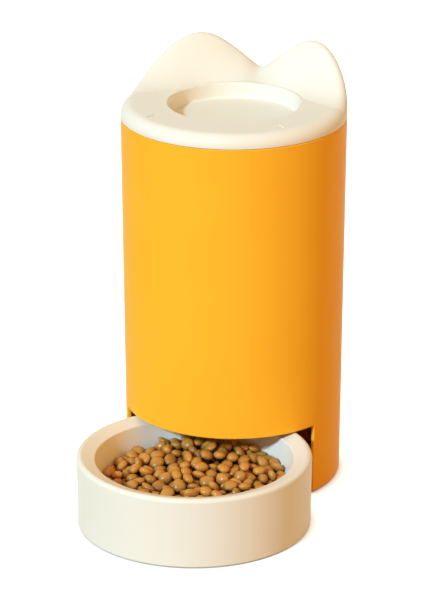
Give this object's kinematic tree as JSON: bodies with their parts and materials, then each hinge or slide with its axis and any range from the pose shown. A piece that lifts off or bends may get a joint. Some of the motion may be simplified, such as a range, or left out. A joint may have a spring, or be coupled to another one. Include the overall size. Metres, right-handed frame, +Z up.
{
  "type": "gravity pet feeder",
  "caption": "Gravity pet feeder: round food store with an eared lift-off lid, an inner funnel and a pull-out bowl that stands in a bay under its front wall.",
  "frame": {"origin": "on the floor, at the middle of the bounding box, between the bowl and the tower", "axes": "+Z up, -Y to the front where the bowl stands, +X to the right seen from the front"},
  "size_m": [0.1734, 0.2789, 0.3232],
  "materials": {
    "orange_abs": "satin moulded",
    "cream_abs": "satin moulded",
    "screw_steel": "zinc plated",
    "silicone": "matt",
    "foot_rubber": "matt",
    "dry_food": "dry and porous"
  },
  "bodies": {
    "tower": {"body_shell": "orange_abs", "food_funnel": "orange_abs", "base_cover": "orange_abs", "base_screws": "screw_steel", "tower_foot_1": "foot_rubber", "tower_foot_2": "foot_rubber", "tower_foot_3": "foot_rubber", "tower_foot_4": "foot_rubber"},
    "lid": {"lid_shell": "cream_abs", "lid_liner": "cream_abs", "lid_seal": "silicone"},
    "bowl": {"feeding_bowl": "cream_abs", "kibble": "dry_food", "bowl_foot_1": "foot_rubber", "bowl_foot_2": "foot_rubber", "bowl_foot_3": "foot_rubber", "bowl_foot_4": "foot_rubber"}
  },
  "joints": [
    {"name": "lid_lift", "type": "slide", "parent": "tower", "child": "lid", "axis": [0, 0, 1], "range_m": [0, 0.1]},
    {"name": "bowl_slide", "type": "slide", "parent": "tower", "child": "bowl", "axis": [0, -1, 0], "range_m": [0, 0.1]}
  ]
}
